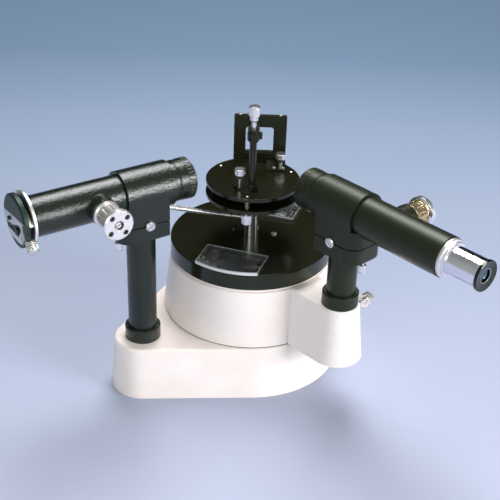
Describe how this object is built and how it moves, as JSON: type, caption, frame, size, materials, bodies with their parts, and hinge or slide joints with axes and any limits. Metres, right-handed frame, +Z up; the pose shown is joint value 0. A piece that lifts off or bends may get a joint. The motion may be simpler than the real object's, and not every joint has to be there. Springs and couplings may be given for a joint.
{
  "type": "spectrometer",
  "caption": "Student spectrometer: a collimator and a swinging telescope on pillars over a cast base, with a levelling prism table above a covered divided circle.",
  "frame": {"origin": "on the main vertical axis of the divided circle, on the flat underside that the base rests on", "axes": "+Z up along the main axis; -X out along the collimator from the main axis; -Y towards the telescope side at rest"},
  "size_m": [0.371, 0.4013, 0.3064],
  "materials": {
    "cream_enamel": "smooth semi-gloss enamel",
    "crinkle_black": "semi-gloss crinkle enamel",
    "gloss_black": "gloss black enamel",
    "satin_black": "satin black",
    "black_plastic": "moulded black",
    "bright_plated": "bright plated",
    "satin_plated": "satin plated, turned",
    "chrome": "polished",
    "ruled_scale": "satin, ruled with dark lines",
    "spring_steel": "drawn wire",
    "brass": "turned",
    "lens_glass": "polished, coated",
    "clear_window": "clear sheet",
    "bottom_sheet": "matt sheet"
  },
  "bodies": {
    "base": {"base_casting": "cream_enamel", "base_plate": "bottom_sheet", "main_spindle": "satin_plated", "collimator_pillar": "crinkle_black", "collimator_foot_ring": "crinkle_black", "collimator_head": "crinkle_black", "collimator_jack_screw": "satin_plated"},
    "collimator": {"collimator_saddle": "crinkle_black", "collimator_pivot_pin": "satin_plated", "collimator_tube": "crinkle_black", "collimator_lens_cell": "crinkle_black", "collimator_lens": "lens_glass"},
    "collimator_levelling": {"collimator_levelling_screw": "satin_plated"},
    "collimator_draw": {"collimator_draw_tube": "brass", "slit_flange": "bright_plated", "slit_head": "satin_black", "slit_fixed_jaw": "satin_plated"},
    "slit_jaw": {"slit_moving_jaw": "satin_plated"},
    "slit_width_screw": {"slit_screw": "bright_plated"},
    "collimator_focus": {"collimator_focus_knob": "bright_plated"},
    "telescope_arm": {"drum_casting": "cream_enamel", "dial_cover": "gloss_black", "dial_windows": "clear_window", "dial_screws": "satin_plated", "verniers": "ruled_scale", "telescope_pillar": "crinkle_black", "telescope_foot_ring": "crinkle_black", "telescope_head": "crinkle_black"},
    "arm_clamp": {"arm_clamp_knob": "bright_plated"},
    "telescope": {"telescope_saddle": "crinkle_black", "telescope_pivot_pin": "satin_plated", "telescope_tube": "crinkle_black", "objective_cell": "crinkle_black", "objective_lens": "lens_glass"},
    "telescope_levelling": {"telescope_levelling_screw": "satin_plated"},
    "telescope_draw": {"telescope_draw_tube": "brass", "draw_end_ring": "bright_plated", "cross_wire_ring": "brass"},
    "telescope_focus": {"telescope_focus_knob": "bright_plated"},
    "eyepiece": {"eyepiece_barrel": "chrome", "eyepiece_cap": "black_plastic", "eyepiece_lenses": "lens_glass"},
    "circle": {"divided_circle": "ruled_scale", "table_hub": "chrome"},
    "lever": {"table_lever": "satin_plated"},
    "rod": {"table_rod": "satin_plated"},
    "table_lower": {"table_lower_plate": "gloss_black"},
    "nut_front": {"levelling_nut_front": "satin_plated"},
    "nut_right": {"levelling_nut_right": "satin_plated"},
    "nut_back": {"levelling_nut_back": "satin_plated"},
    "table_springs": {"levelling_springs": "spring_steel"},
    "table_upper": {"table_upper_plate": "gloss_black", "levelling_studs": "satin_plated", "prism_clamp_post": "gloss_black", "grating_holder": "satin_black", "grating_screws": "satin_plated"},
    "clamp_arm": {"prism_clamp_arm": "satin_black"},
    "clamp_screw": {"prism_clamp_screw": "satin_plated"},
    "post_screw": {"post_thumb_screw": "satin_plated"},
    "holder_screw": {"grating_thumb_screw": "satin_plated"}
  },
  "joints": [
    {"name": "collimator_tilt", "type": "hinge", "parent": "base", "child": "collimator", "pos_m": [-0.1365, 0, 0.2045], "axis": [0, 1, 0], "range_deg": [-1.2, 1.2]},
    {"name": "collimator_levelling_turn", "type": "hinge", "parent": "base", "child": "collimator_levelling", "pos_m": [-0.16, 0, 0.18], "axis": [0, 0, 1], "range_deg": [-256, 256]},
    {"name": "collimator_focus_slide", "type": "slide", "parent": "collimator", "child": "collimator_draw", "axis": [-1, 0, 0], "range_m": [0, 0.025]},
    {"name": "collimator_focus_turn", "type": "hinge", "parent": "collimator", "child": "collimator_focus", "pos_m": [-0.1865, -0.03, 0.2347], "axis": [0, -1, 0], "range_deg": [-2, 288]},
    {"name": "slit_jaw_slide", "type": "slide", "parent": "collimator_draw", "child": "slit_jaw", "axis": [0, -0.8829, -0.4695], "range_m": [0, 0.002]},
    {"name": "slit_screw_turn", "type": "hinge", "parent": "collimator_draw", "child": "slit_width_screw", "pos_m": [-0.2612, -0.01625, 0.22266], "axis": [0, -0.8829, -0.4695], "range_deg": [0, 1440]},
    {"name": "telescope_arm_turn", "type": "hinge", "parent": "base", "child": "telescope_arm", "pos_m": [0, 0, 0.09], "axis": [0, 0, 1], "range_deg": [-55, 215]},
    {"name": "arm_clamp_turn", "type": "hinge", "parent": "telescope_arm", "child": "arm_clamp", "pos_m": [0.04333, -0.13774, 0.1178], "axis": [0.9863, 0.165, 0], "range_deg": [0, 720]},
    {"name": "telescope_tilt", "type": "hinge", "parent": "telescope_arm", "child": "telescope", "pos_m": [0.02253, -0.13463, 0.2045], "axis": [-0.9863, -0.165, 0], "range_deg": [-1.2, 1.2]},
    {"name": "telescope_levelling_turn", "type": "hinge", "parent": "telescope_arm", "child": "telescope_levelling", "pos_m": [0.02641, -0.15781, 0.18], "axis": [0, 0, 1], "range_deg": [-256, 256]},
    {"name": "telescope_focus_slide", "type": "slide", "parent": "telescope", "child": "telescope_draw", "axis": [0.165, -0.9863, 0], "range_m": [0, 0.025]},
    {"name": "telescope_focus_turn", "type": "hinge", "parent": "telescope", "child": "telescope_focus", "pos_m": [0.06037, -0.17899, 0.2347], "axis": [0.9863, 0.165, 0], "range_deg": [-2, 288]},
    {"name": "eyepiece_slide", "type": "slide", "parent": "telescope_draw", "child": "eyepiece", "axis": [0.165, -0.9863, 0], "range_m": [-0.006, 0.01]},
    {"name": "circle_turn", "type": "hinge", "parent": "base", "child": "circle", "pos_m": [0, 0, 0.1], "axis": [0, 0, 1], "continuous": true},
    {"name": "lever_turn", "type": "hinge", "parent": "circle", "child": "lever", "pos_m": [0, 0, 0.165], "axis": [-0.9263, 0.2656, 0.2672], "range_deg": [-90, 90]},
    {"name": "table_height", "type": "slide", "parent": "circle", "child": "rod", "axis": [0, 0, 1], "range_m": [-0.001, 0.014]},
    {"name": "table_turn", "type": "hinge", "parent": "rod", "child": "table_lower", "pos_m": [0, 0, 0.195], "axis": [0, 0, 1], "continuous": true},
    {"name": "nut_front_turn", "type": "hinge", "parent": "table_lower", "child": "nut_front", "pos_m": [-0.02887, -0.03321, 0.19], "axis": [0, 0, 1], "range_deg": [-720, 720]},
    {"name": "nut_right_turn", "type": "hinge", "parent": "table_lower", "child": "nut_right", "pos_m": [0.04319, -0.0084, 0.19], "axis": [0, 0, 1], "range_deg": [-720, 720]},
    {"name": "nut_back_turn", "type": "hinge", "parent": "table_lower", "child": "nut_back", "pos_m": [-0.01432, 0.0416, 0.19], "axis": [0, 0, 1], "range_deg": [-720, 720]},
    {"name": "table_tilt_x", "type": "hinge", "parent": "table_lower", "child": "table_springs", "pos_m": [0, 0, 0.1955], "axis": [1, 0, 0], "range_deg": [-0.8, 0.8], "deforming": ["levelling_springs"]},
    {"name": "table_tilt_y", "type": "hinge", "parent": "table_springs", "child": "table_upper", "pos_m": [0, 0, 0.1955], "axis": [0, 1, 0], "range_deg": [-0.8, 0.8], "deforming": ["levelling_springs"]},
    {"name": "clamp_arm_swing", "type": "hinge", "parent": "table_upper", "child": "clamp_arm", "pos_m": [-0.0155, -0.021, 0.275], "axis": [0, 0, 1], "range_deg": [-60, 60]},
    {"name": "clamp_screw_turn", "type": "hinge", "parent": "table_upper", "child": "clamp_screw", "pos_m": [-0.0155, -0.021, 0.29], "axis": [0, 0, 1], "range_deg": [0, 720]},
    {"name": "post_screw_turn", "type": "hinge", "parent": "table_upper", "child": "post_screw", "pos_m": [-0.024, -0.011, 0.22], "axis": [0, 0, 1], "range_deg": [0, 720]},
    {"name": "holder_screw_turn", "type": "hinge", "parent": "table_upper", "child": "holder_screw", "pos_m": [0.03981, 0.00752, 0.22], "axis": [0, 0, 1], "range_deg": [0, 720]}
  ],
  "couplings": [
    {"joint": "collimator_focus_turn", "follows": "collimator_focus_slide", "rad_per_m": 200},
    {"joint": "telescope_focus_turn", "follows": "telescope_focus_slide", "rad_per_m": 200},
    {"joint": "collimator_levelling_turn", "follows": "collimator_tilt", "ratio": 210.9},
    {"joint": "telescope_levelling_turn", "follows": "telescope_tilt", "ratio": 210.9},
    {"joint": "slit_screw_turn", "follows": "slit_jaw_slide", "rad_per_m": 12566}
  ]
}
